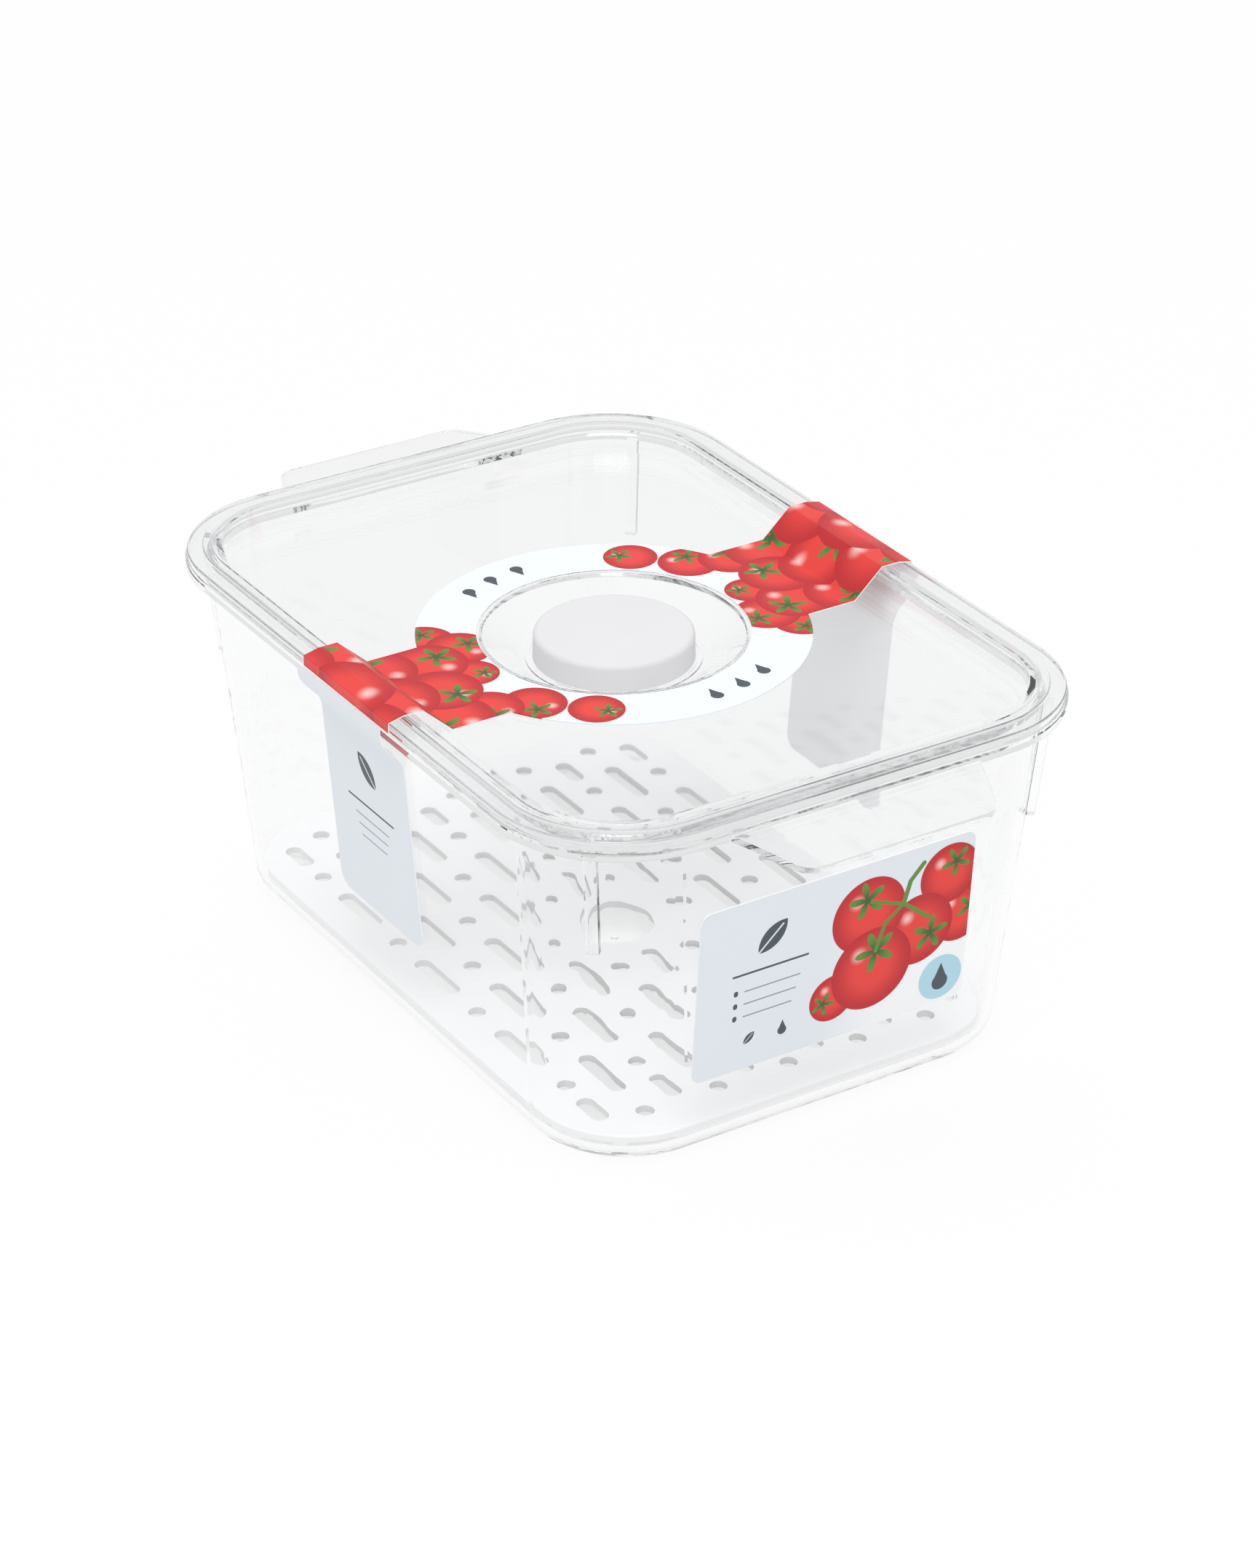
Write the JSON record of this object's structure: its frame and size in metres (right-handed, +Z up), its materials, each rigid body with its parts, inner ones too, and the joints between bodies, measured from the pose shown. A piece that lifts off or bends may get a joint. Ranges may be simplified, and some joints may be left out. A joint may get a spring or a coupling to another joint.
{
  "type": "food storage container",
  "caption": "Clear rectangular refrigerator food keeper with end handles, a recessed lid with a lift-up vent, a slotted drain tray and a paper label band.",
  "frame": {"origin": "centre of the foot, on the surface it stands on", "axes": "+X across the short side, +Y along the long side with the handles at both ends, +Z up; the front label faces -Y"},
  "size_m": [0.1558, 0.25, 0.0975],
  "materials": {
    "clear_body": "clear, polished",
    "clear_lid": "clear, polished",
    "knob_grey": "fine matte",
    "silicone": "soft, translucent",
    "clip_white": "satin",
    "tray_white": "satin",
    "label_paper": "coated, smooth"
  },
  "bodies": {
    "bin": {"bin": "clear_body", "left_label": "label_paper", "right_label": "label_paper", "front_label": "label_paper"},
    "lid": {"lid": "clear_lid", "band_label": "label_paper"},
    "vent": {"vent_knob": "knob_grey", "vent_seal": "silicone", "vent_clip": "clip_white"},
    "tray": {"drain_tray": "tray_white"}
  },
  "joints": [
    {"name": "lid_lift", "type": "slide", "parent": "bin", "child": "lid", "axis": [0, 0, 1], "range_m": [0, 0.06]},
    {"name": "vent", "type": "slide", "parent": "lid", "child": "vent", "axis": [0, 0, 1], "range_m": [0, 0.004]},
    {"name": "tray_lift", "type": "slide", "parent": "bin", "child": "tray", "axis": [0, 0, 1], "range_m": [0, 0.06]}
  ]
}
